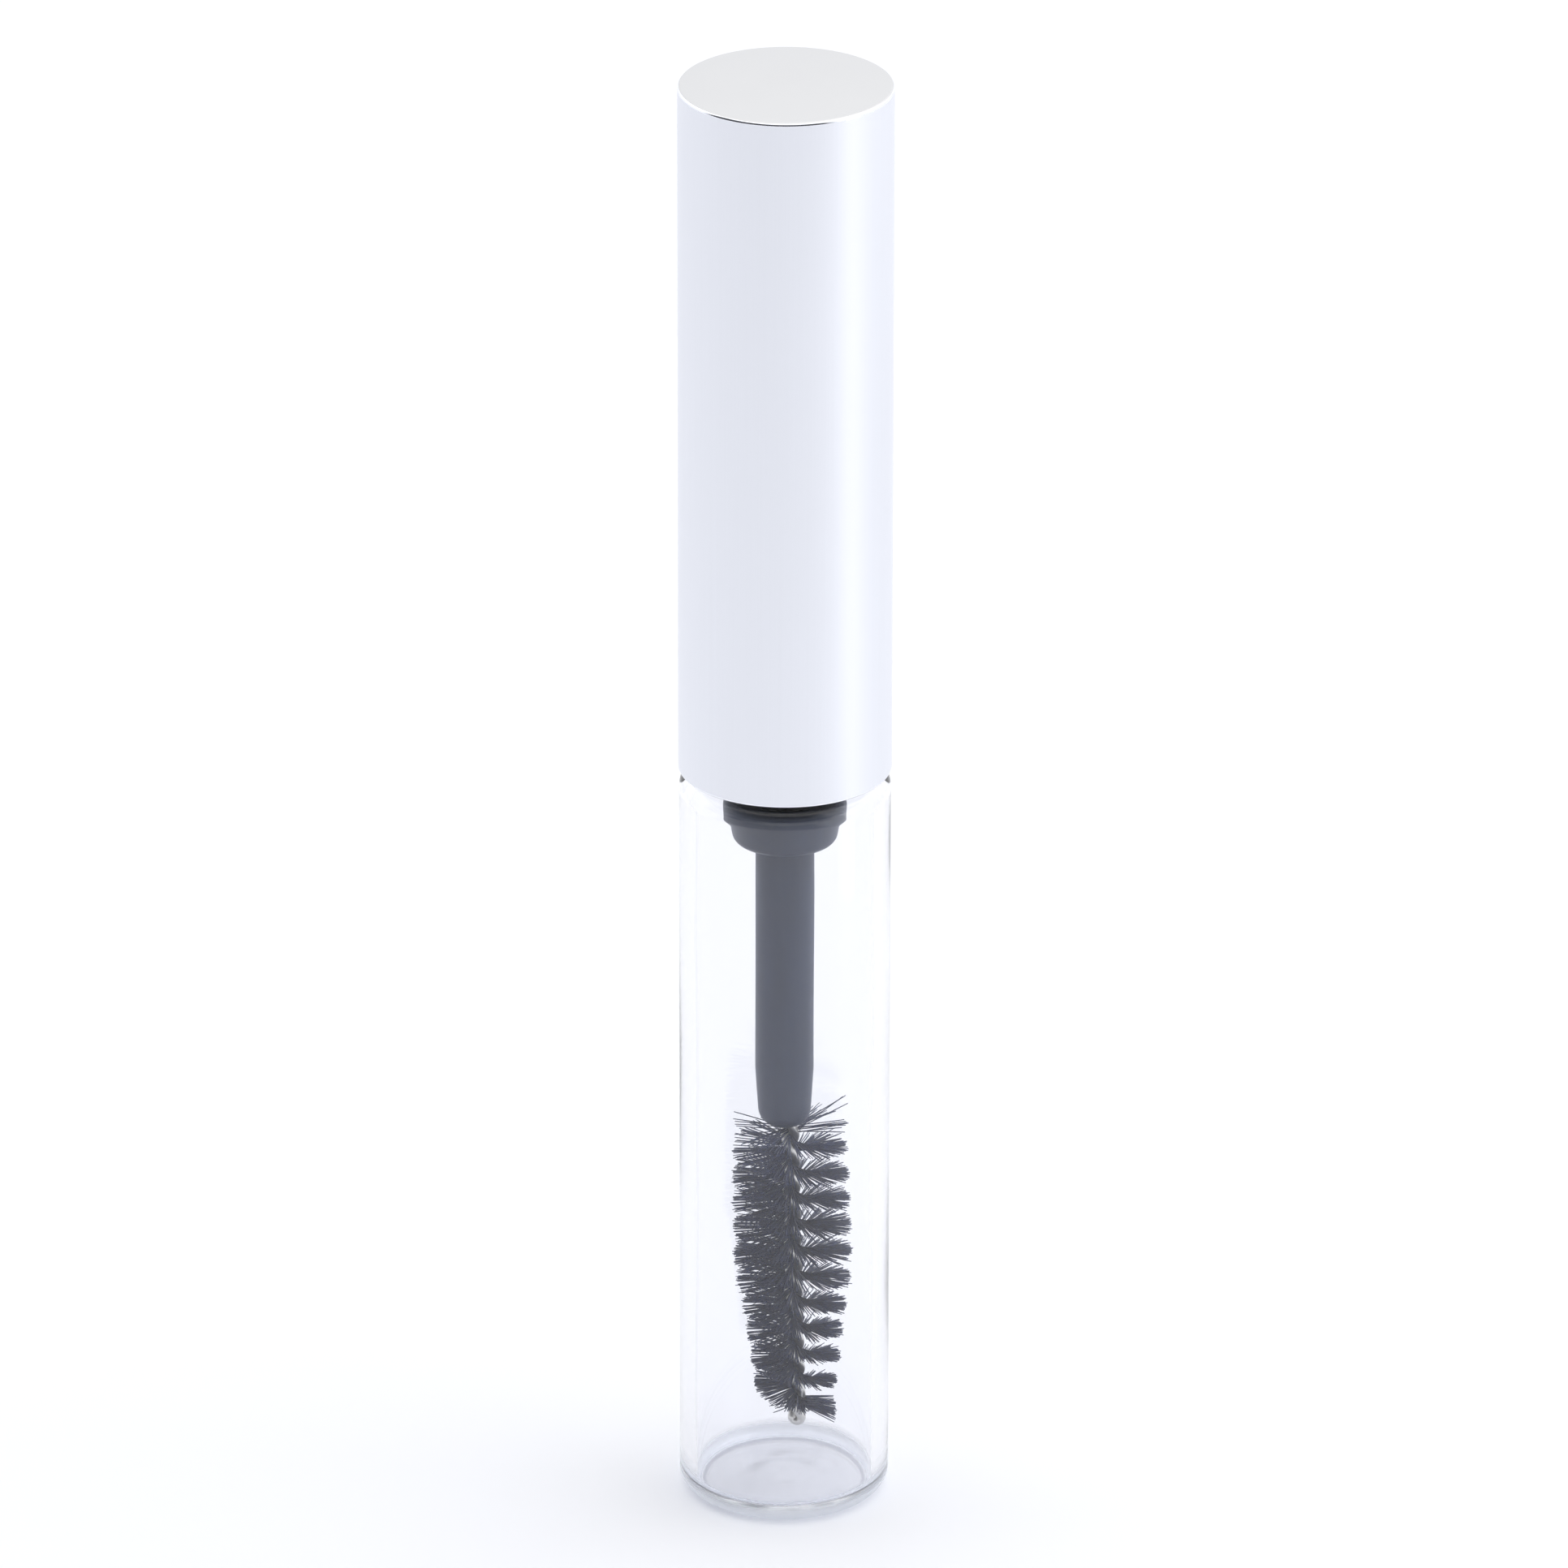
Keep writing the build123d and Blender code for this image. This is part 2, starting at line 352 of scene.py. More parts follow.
class Signal:
    """A shader value that can be used in arithmetic; each operation adds its Math node."""

    def __init__(self, tree, socket):
        self.tree = tree
        self.socket = socket

    def maths(self, operation, first, second):
        node = self.tree.nodes.new("ShaderNodeMath")
        node.operation = operation
        feed(self.tree, node.inputs[0], first)
        feed(self.tree, node.inputs[1], second)
        return Signal(self.tree, node.outputs[0])

    def __add__(self, other):
        return self.maths("ADD", self, other)

    def __radd__(self, other):
        return self.maths("ADD", other, self)

    def __sub__(self, other):
        return self.maths("SUBTRACT", self, other)

    def __rsub__(self, other):
        return self.maths("SUBTRACT", other, self)

    def __mul__(self, other):
        return self.maths("MULTIPLY", self, other)

    def __rmul__(self, other):
        return self.maths("MULTIPLY", other, self)


def feed(tree, place, value):
    """Links a signal to an input socket, or sets the socket to a plain value."""
    if isinstance(value, Signal):
        tree.links.new(value.socket, place)
    else:
        place.default_value = value


class Nodes:
    """A node tree that is being filled."""

    def __init__(self, tree):
        self.tree = tree
        tree.nodes.clear()

    def node(self, kind, settings=None, sockets=None, output=0):
        """A node of a type, with its settings made first and then its sockets fed; gives one output."""
        made = self.tree.nodes.new("ShaderNode" + kind)
        for name, value in (settings or {}).items():
            if name == "stops":
                for element, (place, level) in zip(made.color_ramp.elements, value):
                    element.position = place
                    element.color = (level, level, level, 1)
            else:
                setattr(made, name, value)
        for name, value in (sockets or {}).items():
            feed(self.tree, made.inputs[name], value)
        return Signal(self.tree, made.outputs[output]) if made.outputs else made

    def stretched(self, scale):
        """The object's own coordinates in millimetres, times a scale for each axis."""
        place = self.node("TexCoord", output="Object")
        return self.node(
            "VectorMath",
            {"operation": "MULTIPLY"},
            {0: place, 1: [axis / MM for axis in scale]},
        )

    def height(self):
        """The object's own height in millimetres."""
        return self.node("SeparateXYZ", None, {"Vector": self.stretched((0, 0, 1))}, output="Z")

    def noise(self, scale, detail=3.0):
        """Noise from 0 to 1 with that many waves in a millimetre along each axis."""
        return self.node(
            "TexNoise", None, {"Vector": self.stretched(scale), "Scale": 1.0, "Detail": detail}
        )

    def ramp(self, value, low, high):
        """0 where value is under low and 1 where it is over high. All three lie between 0 and 1."""
        return self.node("ValToRGB", {"stops": [(low, 0.0), (high, 1.0)]}, {"Fac": value})

    def mixed(self, factor, first, second):
        """A mix of two colours."""
        return self.node(
            "Mix", {"data_type": "RGBA"}, {"Factor": factor, 6: rgba(first), 7: rgba(second)}, output=2
        )

    def bump(self, height, distance, strength=1.0):
        """A normal from a height, where 1 stands for a distance in metres."""
        return self.node("Bump", None, {"Height": height, "Distance": distance, "Strength": strength})


def rgba(value):
    """A colour as four numbers, or a signal unchanged."""
    return value if isinstance(value, Signal) else (*value[:3], 1.0)


def shade(value, factor):
    """A colour times a factor."""
    return tuple(min(1.0, channel * factor) for channel in value)


def material(name, build, over=None, lamps_through=None):
    """A material whose Principled sockets build(nodes) gives by name.

    over is a second such build and the share of it that shows, from 0 to 1, which may vary.
    lamps_through is the share of light that shadow rays carry straight through glass.
    """
    made = bpy.data.materials.new(name)
    made.use_nodes = True
    nodes = Nodes(made.node_tree)
    surface = nodes.node("BsdfPrincipled", None, build(nodes))
    if over:
        upper, share = over
        upper = nodes.node("BsdfPrincipled", None, upper(nodes))
        surface = nodes.node("MixShader", None, {0: share(nodes), 1: surface, 2: upper})
    if lamps_through:
        shadow = nodes.node("LightPath", output="Is Shadow Ray")
        clear = nodes.node("BsdfTransparent", None, {"Color": rgba(lamps_through)})
        surface = nodes.node("MixShader", None, {0: shadow, 1: surface, 2: clear})
    nodes.node("OutputMaterial", None, {"Surface": surface})
    return made


def clear_glass(tint):
    """Clear glass with a slow ripple in its surface, and a rubbed, hazy heel."""

    def heel_zone(nodes):
        """1 in the outer lower edge and 0 elsewhere, from the reach and height in centimetres."""
        reach = nodes.node(
            "VectorMath", {"operation": "LENGTH"}, {0: nodes.stretched((1, 1, 0))}, output="Value"
        )
        outside = nodes.ramp(reach * 0.1, 0.64, 0.70)
        return outside * (1 - nodes.ramp(nodes.height() * 0.1, 0.12, 0.20))

    def build(nodes):
        ripple = nodes.noise((0.12, 0.12, 0.05), detail=1.0)
        cloud = nodes.ramp(nodes.noise((0.35, 0.35, 0.2)), 0.55, 0.9)
        return {
            "Base Color": rgba(tint),
            "Transmission Weight": 1.0,
            "IOR": 1.5,
            "Roughness": 0.012 * cloud + 0.3 * heel_zone(nodes),
            "Normal": nodes.bump(ripple, 0.05 * MM),
        }

    def frost(nodes):
        return {"Base Color": (0.80, 0.84, 0.92, 1.0), "Roughness": 0.45}

    return material(
        "clear glass",
        build,
        over=(frost, lambda nodes: 0.5 * heel_zone(nodes)),
        lamps_through=(0.97, 0.975, 0.99),
    )


def satin_side(base):
    """Anodised aluminium brushed along the tube: streaks in its colour, roughness and relief."""

    def build(nodes):
        fine = nodes.noise((9.0, 9.0, 0.05), detail=2.0)
        broad = nodes.noise((1.6, 1.6, 0.012), detail=2.0)
        cloud = nodes.noise((0.12, 0.12, 0.05), detail=1.0)
        streak = 0.6 * fine + 0.4 * broad
        return {
            "Base Color": nodes.mixed(0.5 * streak + 0.5 * cloud, shade(base, 0.95), shade(base, 1.05)),
            "Metallic": 1.0,
            "Roughness": 0.30 + 0.14 * streak + 0.04 * cloud,
            "Anisotropic": 0.45,
            "Normal": nodes.bump(streak, 0.004 * MM, 0.6),
        }

    return material("satin aluminium", build)


def shaded_matte_top(base):
    """The same metal blasted to an even matte, with painted shade: its colour is darker and more neutral
    than the side's, for the stronger light the top reflects.
    """

    def build(nodes):
        grain = nodes.noise((14.0, 14.0, 14.0), detail=2.0)
        cloud = nodes.noise((0.25, 0.25, 0.25), detail=2.0)
        return {
            "Base Color": nodes.mixed(0.5 * grain + 0.5 * cloud, shade(base, 0.96), shade(base, 1.03)),
            "Metallic": 1.0,
            "Roughness": 0.40 + 0.10 * grain + 0.05 * cloud,
            "Normal": nodes.bump(grain, 0.004 * MM, 0.5),
        }

    return material("matte aluminium", build)


def bright_edge(base):
    """The cut and polished edges of the shell."""

    def build(nodes):
        line = nodes.noise((0.2, 0.2, 30.0), detail=1.0)
        return {
            "Base Color": rgba(base),
            "Metallic": 1.0,
            "Roughness": 0.07 + 0.06 * line,
        }

    return material("polished aluminium", build)


def black_plastic(name, base, low, high, shade_height=None):
    """Moulded black plastic with a fine skin; low and high are its least and most roughness.

    Above the given height it is darker and duller: the duller sheen stands for the plug pressed against
    the neck's glass, and the darker colour is painted shade.
    """

    def build(nodes):
        skin = nodes.noise((9.0, 9.0, 9.0), detail=2.0)
        flow = nodes.noise((0.5, 0.5, 0.12), detail=2.0)
        return {
            "Base Color": nodes.mixed(flow, shade(base, 0.7), shade(base, 1.5)),
            "Roughness": low + (high - low) * (0.4 * skin + 0.6 * flow),
            "IOR": 1.49,
            "Normal": nodes.bump(skin, 0.0015 * MM, 0.5),
        }

    # Painted shade: the colour at 0.12 of its brightness, with little sheen
    def painted_shade(nodes):
        return {"Base Color": rgba(shade(base, 0.12)), "Roughness": 0.5, "Specular IOR Level": 0.12}

    def painted_shade_zone(nodes):
        """Where the painted shade lies: 0 under the given height and 1 over it, in decimetres."""
        start = shade_height / MM * 0.01
        blend = 0.002
        return nodes.ramp(nodes.height() * 0.01, start - blend, start + blend)

    return material(name, build, over=(painted_shade, painted_shade_zone) if shade_height else None)


def nylon(base):
    """Extruded black fibre: near black, with patches lightened as painted highlights, and a soft sheen.
    """

    def build(nodes):
        strand = nodes.noise((3.0, 3.0, 5.0), detail=1.0)
        # Painted highlight: patches of the fibres at 2.1 times their colour
        painted_highlight = nodes.ramp(strand, 0.52, 0.75)
        return {
            "Base Color": nodes.mixed(painted_highlight, base, shade(base, 2.1)),
            "Roughness": 0.32 + 0.16 * strand,
            "IOR": 1.53,
            "Specular IOR Level": 0.3,
        }

    return material("black nylon", build)


def drawn_steel(base):
    """Bright drawn wire with faint die lines."""

    def build(nodes):
        line = nodes.noise((12.0, 12.0, 1.2), detail=2.0)
        return {
            "Base Color": nodes.mixed(line, shade(base, 0.88), shade(base, 1.06)),
            "Metallic": 1.0,
            "Roughness": 0.22 + 0.2 * line,
            "Normal": nodes.bump(line, 0.004 * MM, 0.5),
        }

    return material("drawn steel", build)


def white_plastic(name, base, pore, relief):
    """White plastic or foam; pore is its grain in waves to the millimetre, relief its depth."""

    def build(nodes):
        grain = nodes.noise((pore, pore, pore), detail=3.0)
        return {
            "Base Color": nodes.mixed(grain, shade(base, 0.94), shade(base, 1.04)),
            "Roughness": 0.42 + 0.2 * grain,
            "Normal": nodes.bump(grain, relief, 0.6),
        }

    return material(name, build)


def floor_paper(base):
    """Smooth pale paper."""

    def build(nodes):
        cloud = nodes.noise((0.004, 0.004, 0.004), detail=2.0)
        return {
            "Base Color": nodes.mixed(cloud, shade(base, 0.995), shade(base, 1.005)),
            "Roughness": 0.75,
            "Specular IOR Level": 0.25,
        }

    return material("floor paper", build)


# ---------------------------------------------------------------- bottle


def bottle_sizes(bottle):
    """The bottle's radius and bore, and the heights of its shoulder and of its neck's top."""
    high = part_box("glass_bottle")[1]
    return high.x, high.x - bottle.wall, high.z - bottle.neck_height, high.z


def bottle_outline(bottle):
    """The bottle's section, from the middle of its underside out, up, over the neck and back in."""
    radius, bore, shoulder, neck_top = bottle_sizes(bottle)
    inner_shoulder = shoulder - bottle.shoulder
    return rounded(
        [
            (0, 0, 0),
            (radius, 0, bottle.base_corner),
            (radius, shoulder, bottle.shoulder_corner),
            (bottle.neck_radius, shoulder, 0.25 * MM),
            (bottle.neck_radius, neck_top, 0.3 * MM),
            (bottle.neck_bore, neck_top, 0.15 * MM),
            (bottle.neck_bore, inner_shoulder, 0.4 * MM),
            (bore, inner_shoulder, bottle.inner_corner),
            (bore, bottle.floor, bottle.floor_corner),
            (0, bottle.floor, 0),
        ],
        steps=28,
    )


def thread_relief(bottle, angle, height):
    """How far the right-hand thread stands out at an angle and a height, for arrays."""
    crest = 0.26 * MM
    root = 0.66 * MM
    fade_turns = 0.12
    turned = np.mod(angle, TURN) / TURN
    climbed = (height - bottle.thread_start) / bottle.thread_pitch
    relief = np.zeros_like(height)
    for lap in range(math.ceil(bottle.thread_turns) + 1):
        along = turned + lap
        off = np.abs(climbed - along) * bottle.thread_pitch
        ridge = 1 - smoothstep(crest, root, off)
        fade = smoothstep(0.0, fade_turns, along)
        fade *= smoothstep(0.0, fade_turns, bottle.thread_turns - along)
        relief = np.maximum(relief, ridge * fade)
    return relief * bottle.thread_height


def shape_glass(bottle, places):
    """Adds the thread, the hollow under the base, and the small unevenness of drawn glass."""
    x, y, z = places.T
    radius = np.hypot(x, y)
    angle = np.arctan2(y, x)
    _, bore, shoulder, neck_top = bottle_sizes(bottle)

    clear_of_edges = 0.5 * MM
    on_neck = (radius > bottle.neck_radius - TOUCH) & (z > shoulder + clear_of_edges)
    on_neck &= z < neck_top - clear_of_edges
    grown = np.where(on_neck, thread_relief(bottle, angle, z), 0.0)

    # Two slow waves round and up the inner wall, which die out before the floor and the shoulder
    second = 0.6
    inside = (radius < bore + TOUCH) & (z > bottle.floor - TOUCH) & (z < shoulder - bottle.shoulder)
    wander = np.sin(angle * 2 + z * 170) + second * np.sin(angle * 3 - z * 310 + 1.3)
    fade = smoothstep(0.0, 6 * MM, z - bottle.floor) * smoothstep(0.0, 8 * MM, shoulder - z)
    grown += np.where(inside, wander * fade * bottle.waviness / (1 + second), 0.0)

    # Rings and crossed waves in the floor, in radians to the millimetre
    across, along = x / MM, y / MM
    ripple = np.cos(radius / MM * 1.5) + 0.6 * np.sin(1.1 * across + 0.7) * np.cos(1.4 * along)
    ripple += 0.5 * np.sin(1.7 * across - 0.9 * along + 2.0)
    ripple *= 1 - smoothstep(3.5 * MM, 5.8 * MM, radius)
    on_floor = (np.abs(z - bottle.floor) < 10 * TOUCH) & (radius < bore)
    raised = np.where(on_floor, bottle.dimple * ripple, 0.0)

    hollow = bottle.punt * (1 - smoothstep(1.5 * MM, 5.6 * MM, radius))
    raised += np.where(z < TOUCH, hollow, 0.0)

    scale = 1 + np.divide(grown, radius, out=np.zeros_like(radius), where=radius > 0)
    return np.column_stack([x * scale, y * scale, z + raised])


class MASCARA_OT_bottle(bpy.types.Operator):
    """Make the glass bottle with its threaded neck"""

    bl_idname = "mascara.bottle"
    bl_label = "Glass bottle"

    def execute(self, context):
        bottle = context.scene.mascara_bottle
        shape = Shape()
        outline = divided(bottle_outline(bottle), longest=0.45 * MM, closed=False)
        shape.lathe(outline, segments=288, closed=False)
        glass = clear_glass(context.scene.mascara_finish.glass)
        made = piece("clear_bottle", shape, [glass], "bottle", "clear_glass", "glass_bottle")
        reshape(made, lambda places: shape_glass(bottle, places))
        return {"FINISHED"}


class MASCARA_OT_wiper(bpy.types.Operator):
    """Make the black wiper in the neck"""

    bl_idname = "mascara.wiper"
    bl_label = "Wiper"

    def execute(self, context):
        bottle = context.scene.mascara_bottle
        low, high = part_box("wiper")
        neck_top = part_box("glass_bottle")[1].z
        gap = 0.03 * MM
        orifice = context.scene.mascara_cap.stem_radius + gap
        sleeve = bottle.neck_bore - gap
        hole = sleeve - bottle.sleeve_wall
        outline = rounded(
            [
                (orifice, low.z, 0.1 * MM),
                (bottle.bowl_radius, low.z, 0.8 * MM),
                (sleeve, bottle.bowl_height, 0.6 * MM),
                (sleeve, neck_top, 0.05 * MM),
                (high.x, neck_top, 0.1 * MM),
                (high.x, high.z, 0.2 * MM),
                (hole, high.z, 0.3 * MM),
                (hole, bottle.bowl_height + bottle.sleeve_wall, 0.4 * MM),
                (orifice, low.z + bottle.lip, 0.15 * MM),
            ],
            steps=8,
        )
        shape = Shape()
        outline = divided(outline, longest=1.0 * MM, closed=True)
        shape.lathe(outline, segments=192, closed=True)
        black = context.scene.mascara_finish.black
        # Painted shade darkens the plug above this height
        shade_height = bottle.bowl_height + 0.1 * MM
        rubber = black_plastic("wiper black", black, low=0.28, high=0.45, shade_height=shade_height)
        piece("neck_wiper", shape, [rubber], "bottle", "wiper_plastic", "wiper")
        return {"FINISHED"}


# ---------------------------------------------------------------- cap and stem


class MASCARA_OT_shell(bpy.types.Operator):
    """Make the aluminium shell with its satin side, polished edge and matte top"""

    bl_idname = "mascara.shell"
    bl_label = "Outer shell"

    def execute(self, context):
        cap = context.scene.mascara_cap
        low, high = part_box("outer_shell")
        radius = high.x
        edge_z = high.z - cap.dome
        dome_radius = (radius**2 + cap.dome**2) / (2 * cap.dome)
        bore = radius - cap.wall
        outline = rounded(
            [
                (0, edge_z - cap.top, 0),
                (bore, edge_z - cap.top, 0.4 * MM),
                (bore, low.z, cap.rim),
                (radius, low.z, cap.rim),
                (radius, edge_z, cap.edge),
                (0, edge_z, 0),
            ],
            steps=12,
        )
        outline = divided(outline, longest=1.0 * MM, closed=False)
        shape = Shape()
        shape.lathe(outline, segments=320, closed=False)
        base = context.scene.mascara_finish.aluminium
        # The top's colour carries painted shade
        top = context.scene.mascara_finish.top
        polished, matte = 1, 2
        finishes = [satin_side(base), bright_edge(shade(base, 1.12)), shaded_matte_top(top)]
        made = piece("cap_shell", shape, finishes, "wand", "satin_aluminium", "outer_shell")

        def dome(places):
            """Raises the top by its shallow dome, which fades out at the polished edge."""
            reach = np.hypot(places[:, 0], places[:, 1])
            rise = np.sqrt(dome_radius**2 - reach**2) - (dome_radius - cap.dome)
            top = places[:, 2] > edge_z - cap.edge
            places[:, 2] += np.where(top, rise, 0.0)
            return places

        reshape(made, dome)
        matte_reach = radius - 0.4 * cap.edge
        level = 0.02
        for face in made.data.polygons:
            reach = math.hypot(face.center.x, face.center.y)
            if face.center.z > edge_z - cap.edge and face.normal.z > level:
                face.material_index = matte if reach < matte_reach else polished
            elif face.center.z < low.z + cap.rim:
                face.material_index = polished
        return {"FINISHED"}


class MASCARA_OT_stem(bpy.types.Operator):
    """Make the black stem with its collar"""

    bl_idname = "mascara.stem"
    bl_label = "Stem"

    def execute(self, context):
        cap = context.scene.mascara_cap
        low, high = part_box("stem")
        gap = 0.05 * MM
        collar = 0.8 * MM
        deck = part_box("sealing_washer")[1].z + gap
        outline = rounded(
            [
                (0, low.z, 0),
                (cap.stem_tip, low.z, cap.stem_tip_corner),
                (cap.stem_radius, cap.stem_taper, 3.0 * MM),
                (cap.stem_radius, deck, 0.1 * MM),
                (high.x, deck, 0.1 * MM),
                (high.x, deck + collar, 0.1 * MM),
                (cap.stem_radius, deck + collar, 0.1 * MM),
                (cap.stem_radius, high.z, 0.3 * MM),
                (0, high.z, 0),
            ],
            steps=10,
        )
        shape = Shape()
        shape.lathe(divided(outline, longest=1.0 * MM, closed=False), segments=160, closed=False)
        plastic = black_plastic("stem black", context.scene.mascara_finish.black, low=0.35, high=0.5)
        piece("stem_rod", shape, [plastic], "wand", "stem_plastic", "stem")
        return {"FINISHED"}


class MASCARA_OT_closure(bpy.types.Operator):
    """Give the hidden liner and washer their materials"""

    bl_idname = "mascara.closure"
    bl_label = "Inner cap and washer"

    def execute(self, context):
        base = context.scene.mascara_finish.white
        dress("inner_cap", white_plastic("liner white", base, pore=2.0, relief=0.01 * MM))
        dress("sealing_washer", white_plastic("washer foam", base, pore=6.0, relief=0.05 * MM))
        return {"FINISHED"}


# ---------------------------------------------------------------- brush


def leaning(brush):
    """The turn that leans the brush, built along Z, towards +X."""
    pivot = Matrix.Translation((0, 0, brush.lean_height))
    return pivot @ Matrix.Rotation(-brush.lean, 4, "Y") @ pivot.inverted()


def fibre_angle(brush, height):
    """The direction round Z of the fibres held at a height: a left-hand twist."""
    return -TURN * (height - brush.phase_height) / brush.pitch


def wire_path(brush):
    """The wire's centre line: down one ply, round the bend at the tip, and up the other."""
    steps = 260
    bend = 12
    heights = [
        brush.wire_top + (brush.tip - brush.wire_top) * step / steps for step in range(steps + 1)
    ]

    def ply(height, side):
        angle = fibre_angle(brush, height) + math.pi / 2 + side
        return Vector((brush.ply_offset * math.cos(angle), brush.ply_offset * math.sin(angle), height))

    down = [ply(height, 0.0) for height in heights]
    across = ply(brush.tip, 0.0) - Vector((0, 0, brush.tip))
    round_bend = [
        Vector((0, 0, brush.tip))
        + across * math.cos(math.pi * step / bend)
        - UP * brush.ply_offset * math.sin(math.pi * step / bend)
        for step in range(1, bend)
    ]
    up = [ply(height, math.pi) for height in reversed(heights)]
    return down + round_bend + up


class MASCARA_OT_wire(bpy.types.Operator):
    """Make the twisted wire, folded at the brush's tip"""

    bl_idname = "mascara.wire"
    bl_label = "Brush wire"

    def execute(self, context):
        brush = context.scene.mascara_brush
        lean = leaning(brush)
        path = [lean @ point for point in wire_path(brush)]
        shape = Shape()
        shape.tube(path, [brush.ply_radius] * len(path), sides=20, side=Vector((1, 0, 0)))
        steel = drawn_steel(context.scene.mascara_finish.steel)
        piece("twisted_wire", shape, [steel], "wand", "steel_wire", "brush_wire")
        return {"FINISHED"}


def brush_radius(brush, height):
    """The trimmed radius of the brush at a height."""
    if height > brush.wide:
        share = (height - brush.wide) / (brush.top - brush.wide)
        return brush.wide_radius + (brush.top_radius - brush.wide_radius) * share**2
    share = (brush.wide - height) / (brush.wide - brush.end)
    return brush.wide_radius + (brush.end_radius - brush.wide_radius) * share**0.72


def add_fibre(shape, brush, scatter, height, angle, tilt):
    """Adds half a fibre, from the wire out to the trimmed end, with a slight bow."""
    steps = 5
    reach = brush_radius(brush, height) * (1 + scatter.gauss(0, 0.018))
    bow = scatter.gauss(0, 0.016) * reach
    swing = scatter.gauss(0, 0.02)
    start = 0.25 * MM
    points = []
    for step in range(steps + 1):
        share = step / steps
        out = start + (reach - start) * share
        turn = angle + swing * share**2
        rise = out * math.tan(tilt) + bow * share**2
        points.append(Vector((out * math.cos(turn), out * math.sin(turn), height + rise)))
    radii = [brush.fibre_radius] * steps + [brush.fibre_radius * 0.8]
    lean = leaning(brush)
    shape.tube([lean @ point for point in points], radii, sides=4, side=UP)


# Loose tufts at the brush's ends: heights from and to in millimetres, direction and spread in radians,
# tilts from and to in degrees, and the number of fibres
TUFTS = (
    (6.7, 7.4, 0.0, 0.45, (-26, -9), 60),
    (6.6, 7.5, -math.pi / 2, 0.7, (6, 24), 26),
    (29.4, 30.2, 0.0, 0.5, (-4, 30), 12),
    (29.6, 30.2, math.pi, 0.3, (-2, 6), 5),
    (29.8, 30.1, math.pi, 0.1, (20, 24), 1),
)


class MASCARA_OT_fibres(bpy.types.Operator):
    """Make the brush's fibres, each held in the wire's twist"""

    bl_idname = "mascara.fibres"
    bl_label = "Brush fibres"

    def execute(self, context):
        brush = context.scene.mascara_brush
        scatter = random.Random(brush.seed)
        shape = Shape()
        sparse = 2.6 * MM
        sparsest = 0.35
        for number in range(brush.fibres):
            share = (number + scatter.random()) / brush.fibres
            height = brush.end + (brush.top - brush.end) * share
            from_top = brush.top - height
            if from_top < sparse and scatter.random() > sparsest + (1 - sparsest) * from_top / sparse:
                continue
            angle = fibre_angle(brush, height) + scatter.gauss(0, 0.13)
            for side in (0.0, math.pi):
                tilt = scatter.gauss(0, 0.045)
                add_fibre(shape, brush, scatter, height, angle + side, tilt)
        for low, high, angle, spread, tilts, count in TUFTS:
            for _ in range(count):
                height = scatter.uniform(low * MM, high * MM)
                turn = angle + scatter.uniform(-spread, spread)
                tilt = math.radians(scatter.uniform(*tilts))
                add_fibre(shape, brush, scatter, height, turn, tilt)
        fibre = nylon(context.scene.mascara_finish.fibre)
        piece("brush_fibres", shape, [fibre], "wand", "nylon_fibre", "bristles")
        return {"FINISHED"}


# ---------------------------------------------------------------- stage


def studio_light(name, place, aim, width, height, watts):
    """A soft rectangular light that the camera doesn't see."""
    lamp = bpy.data.lights.new(name, "AREA")
    lamp.shape = "RECTANGLE"
    lamp.size = width
    lamp.size_y = height
    lamp.energy = watts
    made = bpy.data.objects.new(name, lamp)
    made.location = place
    made.rotation_euler = (Vector(aim) - Vector(place)).to_track_quat("-Z", "Y").to_euler()
    made.visible_camera = False
    bpy.context.scene.collection.objects.link(made)


def surround(stage):
    """Light from all round: bluish at the horizon, neutral above, and darker behind the camera."""
    dark_way = (-0.34, -0.94, 0.0)
    dark_tone = (0.05, 0.05, 0.055)
    world = bpy.data.worlds.new("studio")
    bpy.context.scene.world = world
    world.use_nodes = True
    nodes = Nodes(world.node_tree)
    way = nodes.node("TexCoord", output="Generated")
    height = nodes.node("SeparateXYZ", None, {"Vector": way}, output="Z")
    towards = nodes.node(
        "VectorMath", {"operation": "DOT_PRODUCT"}, {0: way, 1: dark_way}, output="Value"
    )
    zenith = nodes.ramp(height, 0.1, 0.8)
    dark = nodes.ramp(towards, 0.25, 0.45) * (1 - nodes.ramp(height, 0.62, 0.76))
    light = nodes.mixed(zenith, stage.horizon, (1.0, 1.0, 1.0))
    shaded = nodes.mixed(dark, light, dark_tone)
    glow = nodes.node("Background", None, {"Color": shaded, "Strength": stage.sky})
    nodes.node("OutputWorld", None, {"Surface": glow})


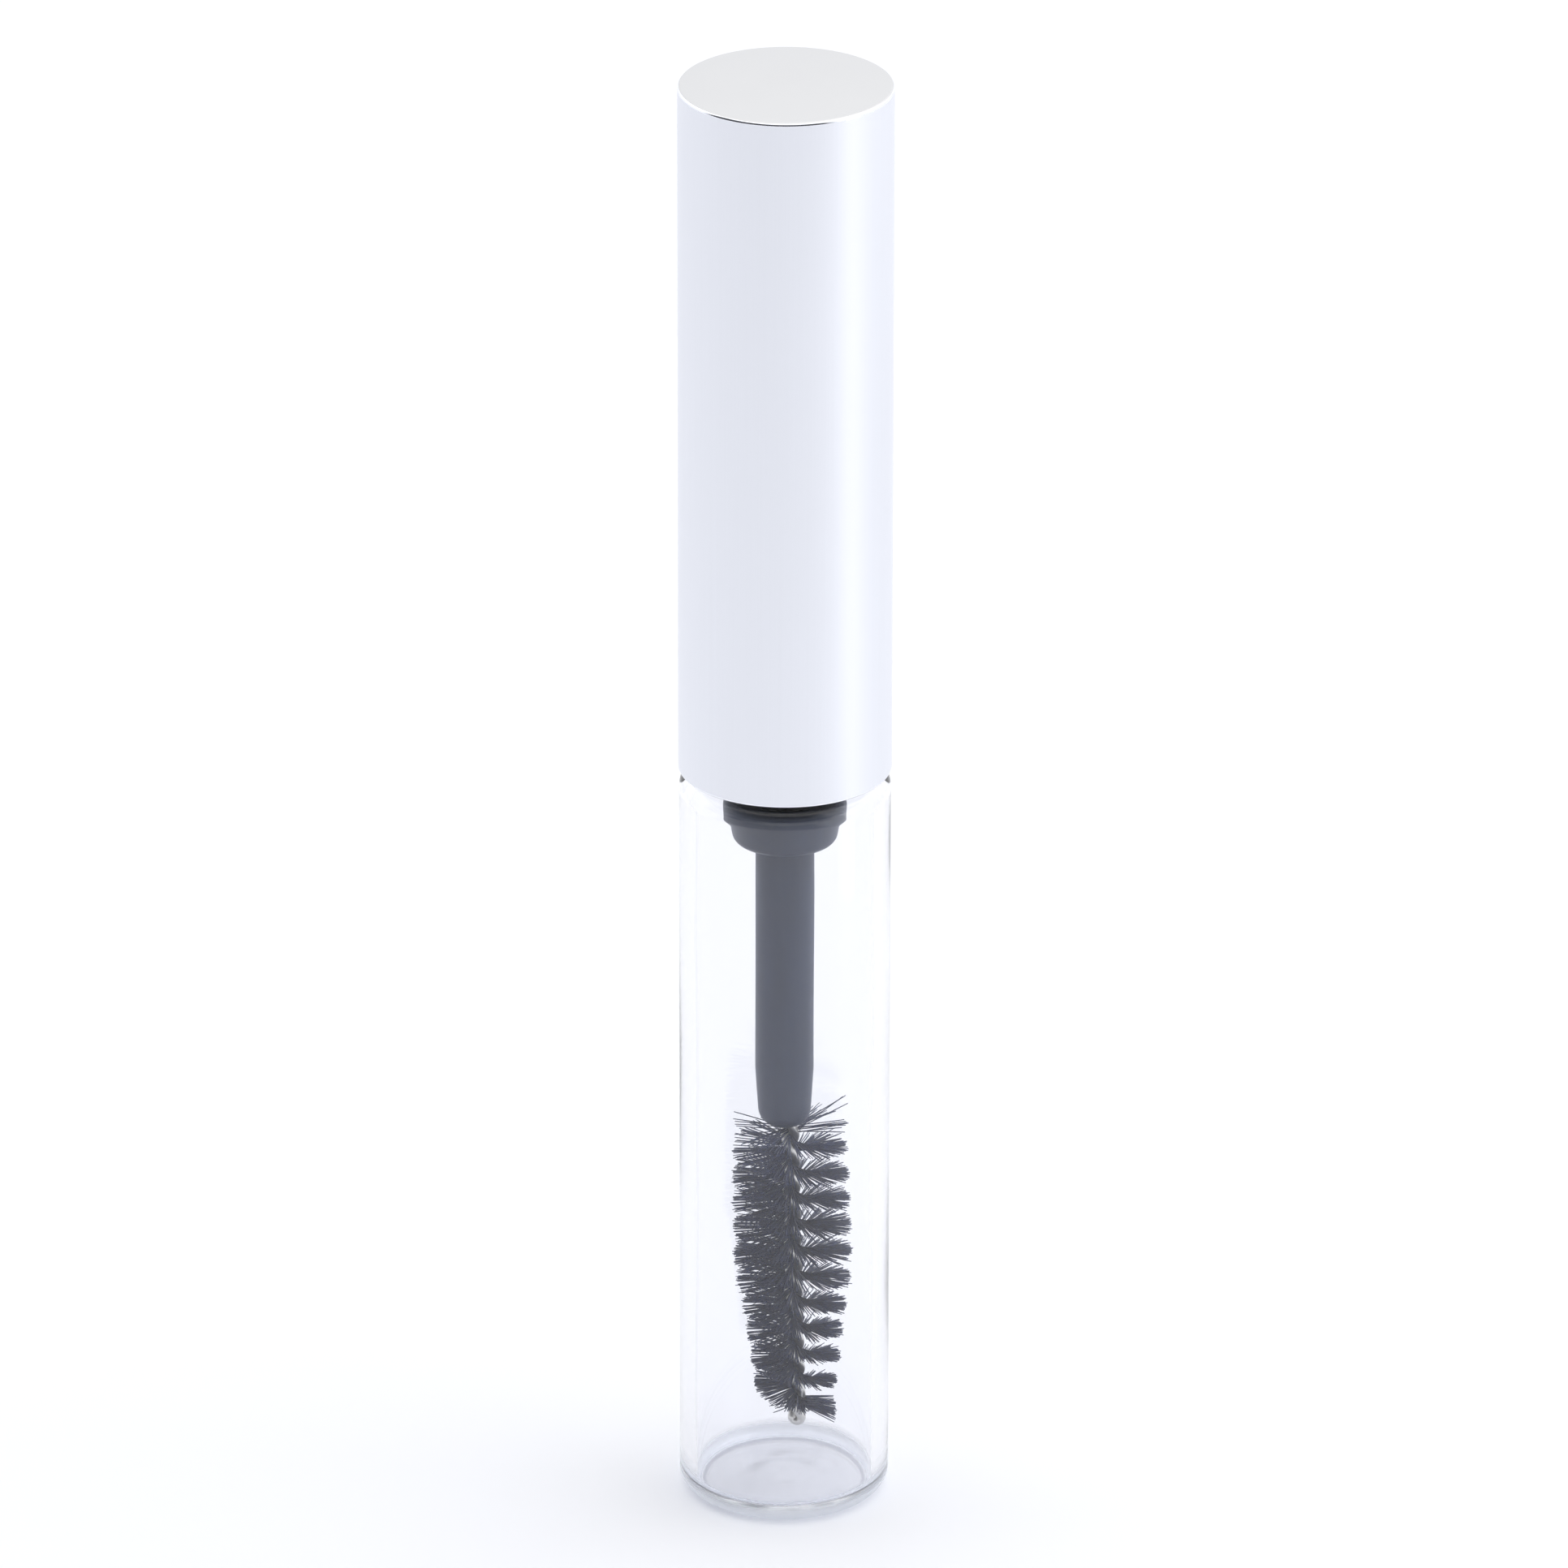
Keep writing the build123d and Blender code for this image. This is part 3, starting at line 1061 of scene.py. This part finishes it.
class MASCARA_OT_stage(bpy.types.Operator):
    """Make the floor, the lights and the camera"""

    bl_idname = "mascara.stage"
    bl_label = "Stage"

    def execute(self, context):
        stage = context.scene.mascara_stage
        shape = Shape()
        outline = [(0, 0), (stage.floor_radius / 8, 0), (stage.floor_radius, 0)]
        shape.lathe(outline, segments=96, closed=False)
        mesh = bpy.data.meshes.new("floor")
        mesh.from_pydata(shape.vertices, [], shape.faces)
        mesh.materials.append(floor_paper(stage.floor_colour))
        floor = bpy.data.objects.new("floor", mesh)
        context.scene.collection.objects.link(floor)

        middle = Vector((0, 0, stage.aim_height))
        studio_light("key", (0.5, 0.15, 0.75), middle, width=0.6, height=0.6, watts=stage.key)
        studio_light("card", (0.114, -0.037, 0.06), middle, width=0.034, height=0.12, watts=stage.card)
        surround(stage)

        camera = bpy.data.cameras.new("camera")
        camera.lens = stage.lens
        camera.sensor_width = 36.0
        camera.clip_start = 0.05
        camera.clip_end = 50.0
        view = bpy.data.objects.new("camera", camera)
        back = Vector((0, -math.cos(stage.elevation), math.sin(stage.elevation)))
        view.location = middle + back * stage.distance - Vector((stage.aside, 0, 0))
        aim = (-back).to_track_quat("-Z", "Y").to_matrix()
        view.rotation_euler = (aim @ Matrix.Rotation(stage.roll, 3, "Z")).to_euler()
        context.scene.collection.objects.link(view)
        context.scene.camera = view
        context.scene.view_settings.view_transform = "Standard"
        return {"FINISHED"}


# ---------------------------------------------------------------- panel and registration


SETTINGS = {
    "mascara_bottle": BottleSettings,
    "mascara_cap": CapSettings,
    "mascara_brush": BrushSettings,
    "mascara_finish": FinishSettings,
    "mascara_stage": StageSettings,
}
OPERATORS = (
    MASCARA_OT_bottle,
    MASCARA_OT_wiper,
    MASCARA_OT_shell,
    MASCARA_OT_stem,
    MASCARA_OT_closure,
    MASCARA_OT_wire,
    MASCARA_OT_fibres,
    MASCARA_OT_stage,
)


class MASCARA_PT_panel(bpy.types.Panel):
    """Lists the pieces and their settings"""

    bl_idname = "MASCARA_PT_panel"
    bl_label = "Mascara tube"
    bl_space_type = "VIEW_3D"
    bl_region_type = "UI"
    bl_category = "Mascara"

    def draw(self, context):
        for operator in OPERATORS:
            self.layout.operator(operator.bl_idname)
        for name, group in SETTINGS.items():
            box = self.layout.box()
            box.label(text=group.__doc__)
            for setting in group.__annotations__:
                box.prop(getattr(context.scene, name), setting)


def register():
    for name, group in SETTINGS.items():
        bpy.utils.register_class(group)
        setattr(bpy.types.Scene, name, PointerProperty(type=group))
    for operator in OPERATORS:
        bpy.utils.register_class(operator)
    bpy.utils.register_class(MASCARA_PT_panel)


def unregister():
    bpy.utils.unregister_class(MASCARA_PT_panel)
    for operator in reversed(OPERATORS):
        bpy.utils.unregister_class(operator)
    for name, group in SETTINGS.items():
        delattr(bpy.types.Scene, name)
        bpy.utils.unregister_class(group)


def main():
    """Makes every piece."""
    register()
    bpy.ops.mascara.bottle()
    bpy.ops.mascara.wiper()
    bpy.ops.mascara.shell()
    bpy.ops.mascara.stem()
    bpy.ops.mascara.closure()
    bpy.ops.mascara.wire()
    bpy.ops.mascara.fibres()
    bpy.ops.mascara.stage()


if __name__ == "__main__":
    main()
